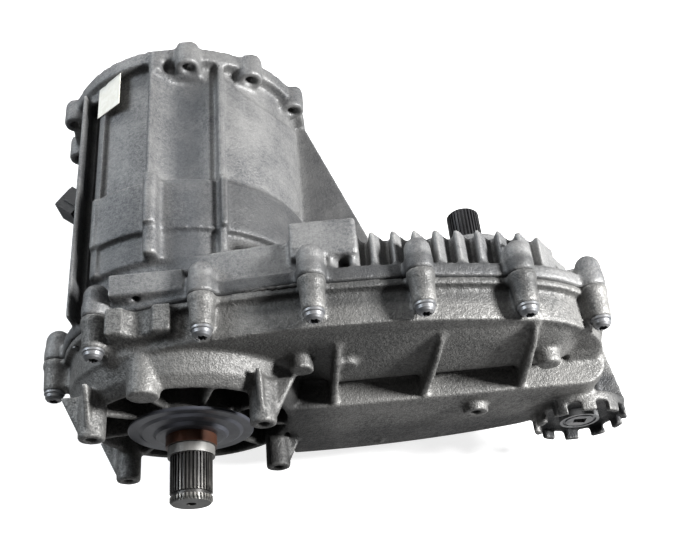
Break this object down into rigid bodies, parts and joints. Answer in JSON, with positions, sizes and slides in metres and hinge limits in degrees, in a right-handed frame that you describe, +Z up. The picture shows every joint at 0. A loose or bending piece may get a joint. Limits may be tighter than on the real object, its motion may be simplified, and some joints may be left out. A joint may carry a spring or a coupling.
{
  "type": "transfer case",
  "caption": "Chain-driven transfer case in a split cast housing, with planetary low range, plate clutch, silent chain, and splined front and rear outputs.",
  "frame": {"origin": "centre of the adapter's mounting face, on the input shaft's axis", "axes": "+Y forward out of the mounting face along the input shaft, +X towards the front output, +Z up"},
  "size_m": [0.4964, 0.381, 0.274],
  "materials": {
    "front_casting": "rough die-cast, speckled",
    "rear_casting": "rough die-cast, darker stained",
    "zinc_fastener": "bright zinc plate",
    "dark_steel": "machined, oil-dark",
    "gear_steel": "ground steel",
    "bearing_steel": "polished bearing steel",
    "oxide_black": "satin black oxide",
    "pale_seal": "pale elastomer",
    "black_rubber": "matte nitrile rubber",
    "black_plastic": "fine-grain nylon",
    "motor_grey": "grey die-cast with grey coat",
    "friction_lining": "paper friction lining",
    "plate_steel": "blanked steel",
    "chain_steel": "oiled chain steel",
    "fork_bronze": "cast shift fork",
    "screen_dark": "moulded screen"
  },
  "bodies": {
    "housing": {"front_case": "front_casting", "rear_case": "rear_casting", "case_bolts": "zinc_fastener", "dowel_pins": "gear_steel", "input_bearing": "bearing_steel", "input_seal": "black_rubber", "annulus_gear": "gear_steel", "shift_motor": "motor_grey", "shift_connector": "black_plastic", "chain": "chain_steel", "front_bearing": "bearing_steel", "front_tail_bearing": "bearing_steel", "front_seal": "pale_seal", "rear_bearing": "bearing_steel", "rear_snap_ring": "dark_steel", "rear_seal": "black_rubber", "pump_body": "plate_steel", "pickup_tube": "plate_steel", "pickup_screen": "screen_dark", "sump_magnet": "dark_steel", "drain_plug": "zinc_fastener", "fill_plug": "zinc_fastener", "breather": "dark_steel"},
    "input": {"input_shaft": "gear_steel"},
    "carrier": {"planet_carrier": "dark_steel", "planet_pins": "bearing_steel"},
    "planet_a": {"planet_gear_1": "gear_steel"},
    "planet_b": {"planet_gear_2": "gear_steel"},
    "planet_c": {"planet_gear_3": "gear_steel"},
    "planet_d": {"planet_gear_4": "gear_steel"},
    "output": {"main_shaft": "dark_steel", "clutch_hub": "gear_steel", "friction_plates": "friction_lining", "ball_ramp": "gear_steel", "slinger": "oxide_black", "pump_rotor": "gear_steel"},
    "front_drive": {"drive_sprocket": "gear_steel", "clutch_drum": "dark_steel", "steel_plates": "plate_steel"},
    "front_output": {"front_output_shaft": "oxide_black", "driven_sprocket": "gear_steel"},
    "sleeve": {"range_sleeve": "gear_steel"},
    "range_rail": {"shift_fork": "fork_bronze", "shift_rail": "bearing_steel"},
    "pinion": {"shift_pinion": "gear_steel"}
  },
  "joints": [
    {"name": "input_spin", "type": "hinge", "parent": "housing", "child": "input", "pos_m": [0, -0.09, 0], "axis": [0, 1, 0], "continuous": true, "deforming": ["chain"]},
    {"name": "output_spin", "type": "hinge", "parent": "housing", "child": "output", "pos_m": [0, -0.296, 0], "axis": [0, 1, 0], "continuous": true},
    {"name": "front_drive_spin", "type": "hinge", "parent": "housing", "child": "front_drive", "pos_m": [0, -0.24, 0], "axis": [0, 1, 0], "continuous": true},
    {"name": "front_output_spin", "type": "hinge", "parent": "housing", "child": "front_output", "pos_m": [0.254, -0.24, 0], "axis": [0, 1, 0], "continuous": true},
    {"name": "carrier_spin", "type": "hinge", "parent": "housing", "child": "carrier", "pos_m": [0, -0.125, 0], "axis": [0, 1, 0], "continuous": true},
    {"name": "planet_a_spin", "type": "hinge", "parent": "carrier", "child": "planet_a", "pos_m": [0.046, -0.125, 0], "axis": [0, 1, 0], "continuous": true},
    {"name": "planet_b_spin", "type": "hinge", "parent": "carrier", "child": "planet_b", "pos_m": [0, -0.125, 0.046], "axis": [0, 1, 0], "continuous": true},
    {"name": "planet_c_spin", "type": "hinge", "parent": "carrier", "child": "planet_c", "pos_m": [-0.046, -0.125, 0], "axis": [0, 1, 0], "continuous": true},
    {"name": "planet_d_spin", "type": "hinge", "parent": "carrier", "child": "planet_d", "pos_m": [0, -0.125, -0.046], "axis": [0, 1, 0], "continuous": true},
    {"name": "range_shift", "type": "slide", "parent": "housing", "child": "range_rail", "axis": [0, -1, 0], "range_m": [0, 0.014]},
    {"name": "sleeve_slide", "type": "slide", "parent": "output", "child": "sleeve", "axis": [0, -1, 0], "range_m": [0, 0.014]},
    {"name": "pinion_turn", "type": "hinge", "parent": "housing", "child": "pinion", "pos_m": [-0.05834, -0.19, -0.04664], "axis": [-1, 0, 0], "range_deg": [0, 107]}
  ],
  "couplings": [
    {"joint": "output_spin", "follows": "input_spin", "ratio": 1},
    {"joint": "front_drive_spin", "follows": "input_spin", "ratio": 1},
    {"joint": "front_output_spin", "follows": "input_spin", "ratio": 1},
    {"joint": "carrier_spin", "follows": "input_spin", "ratio": 0.36957},
    {"joint": "planet_a_spin", "follows": "input_spin", "ratio": -1.7862},
    {"joint": "planet_b_spin", "follows": "input_spin", "ratio": -1.7862},
    {"joint": "planet_c_spin", "follows": "input_spin", "ratio": -1.7862},
    {"joint": "planet_d_spin", "follows": "input_spin", "ratio": -1.7862},
    {"joint": "sleeve_slide", "follows": "range_shift", "ratio": 1},
    {"joint": "pinion_turn", "follows": "range_shift", "rad_per_m": 133.33}
  ]
}
